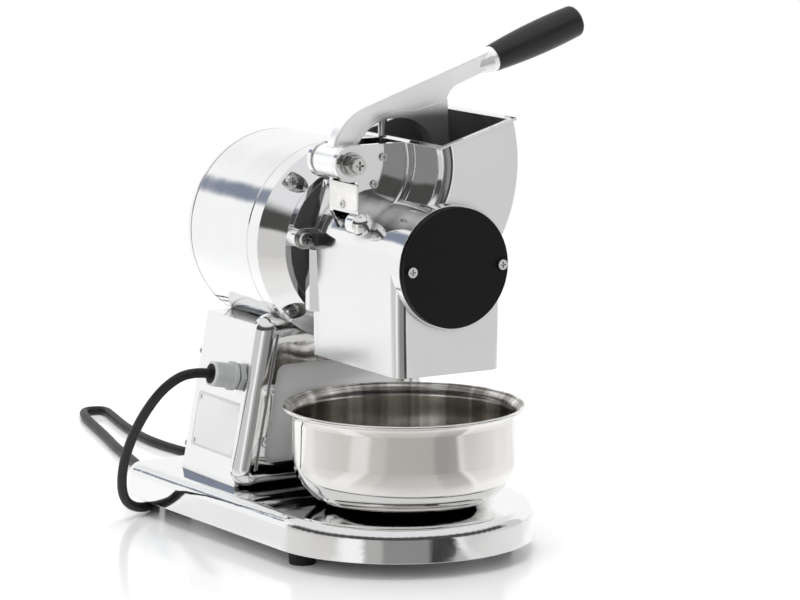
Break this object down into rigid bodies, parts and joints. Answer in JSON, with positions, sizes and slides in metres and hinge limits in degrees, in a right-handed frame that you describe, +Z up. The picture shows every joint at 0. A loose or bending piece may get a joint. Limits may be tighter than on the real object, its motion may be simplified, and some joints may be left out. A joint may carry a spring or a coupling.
{
  "type": "electric grater",
  "caption": "Counter-top cheese grater: motor on a leaning pedestal, grating drum in a cast head with mouth and chute, hinged presser lever and catch bowl.",
  "frame": {"origin": "on the counter under the middle of the machine's box, without its mains lead", "axes": "+X to the right of someone in front of the drum cover, +Y back along the drive axis, +Z up"},
  "size_m": [0.3106, 0.6766, 0.3896],
  "materials": {
    "cast_aluminium": "polished",
    "sheet_steel": "satin",
    "stainless": "polished",
    "fasteners": "bright",
    "machined_steel": "ground",
    "drum_steel": "satin",
    "laminations": "matte",
    "copper": "lacquered",
    "bronze": "satin",
    "black_cover": "satin",
    "black_grip": "moulded",
    "black_plastic": "moulded",
    "rubber": "matte",
    "lead": "matte",
    "plug_metal": "nickel plated",
    "grey_plastic": "moulded",
    "rating_foil": "satin",
    "box_plastic": "moulded",
    "green_plastic": "moulded",
    "red_plastic": "moulded",
    "can": "satin",
    "white_plastic": "moulded"
  },
  "bodies": {
    "stand": {"base_plate": "cast_aluminium", "pedestal": "cast_aluminium", "motor_casing": "cast_aluminium", "motor_flange": "cast_aluminium", "grating_head": "cast_aluminium", "base_cover": "sheet_steel", "back_cover": "sheet_steel", "switch_shield": "stainless", "foot_screws": "fasteners", "pedestal_screws": "fasteners", "back_cover_screws": "fasteners", "casing_screws": "fasteners", "flange_screws": "fasteners", "head_bolts": "fasteners", "head_washers": "fasteners", "drum_cover_screws": "fasteners", "pivot_bolt": "fasteners", "pivot_washer": "fasteners", "pivot_nut": "fasteners", "safety_switch_screws": "fasteners", "shield_screw": "fasteners", "rating_rivets": "fasteners", "front_bearing": "machined_steel", "rear_bearing": "machined_steel", "stator_core": "laminations", "stator_windings": "copper", "drum_cover": "black_cover", "safety_switch": "black_plastic", "switch_block": "black_plastic", "rubber_feet": "rubber", "shaft_seal": "rubber", "wire_grommet": "rubber", "gland_seal": "rubber", "mains_cord": "lead", "plug_body": "lead", "plug_pins": "plug_metal", "gland_body": "grey_plastic", "gland_lock_nut": "grey_plastic", "gland_nut": "grey_plastic", "rating_plate": "rating_foil", "switch_box": "box_plastic", "run_capacitor": "can", "terminal_block": "white_plastic"},
    "drum": {"motor_shaft": "machined_steel", "drum_key": "machined_steel", "rotor_core": "laminations", "grating_drum": "drum_steel", "drum_nut": "fasteners"},
    "lever": {"presser_lever": "cast_aluminium", "lever_bush": "bronze", "lever_grip": "black_grip", "lever_magnet": "machined_steel"},
    "bowl": {"bowl": "stainless"},
    "start_button": {"start_button": "green_plastic"},
    "stop_button": {"stop_button": "red_plastic"}
  },
  "joints": [
    {"name": "drum_spin", "type": "hinge", "parent": "stand", "child": "drum", "pos_m": [-0.02064, -0.07675, 0.217], "axis": [0, 1, 0], "continuous": true},
    {"name": "lever_pivot", "type": "hinge", "parent": "stand", "child": "lever", "pos_m": [-0.07264, -0.06825, 0.2875], "axis": [0, -1, 0], "range_deg": [0, 100]},
    {"name": "bowl_slide", "type": "slide", "parent": "stand", "child": "bowl", "axis": [0, -1, 0], "range_m": [0, 0.2]},
    {"name": "start_press", "type": "slide", "parent": "stand", "child": "start_button", "axis": [-0.9815, 0, -0.1917], "range_m": [0, 0.003], "stiffness_N_per_m": 400},
    {"name": "stop_press", "type": "slide", "parent": "stand", "child": "stop_button", "axis": [-0.9815, 0, -0.1917], "range_m": [0, 0.003], "stiffness_N_per_m": 400}
  ]
}
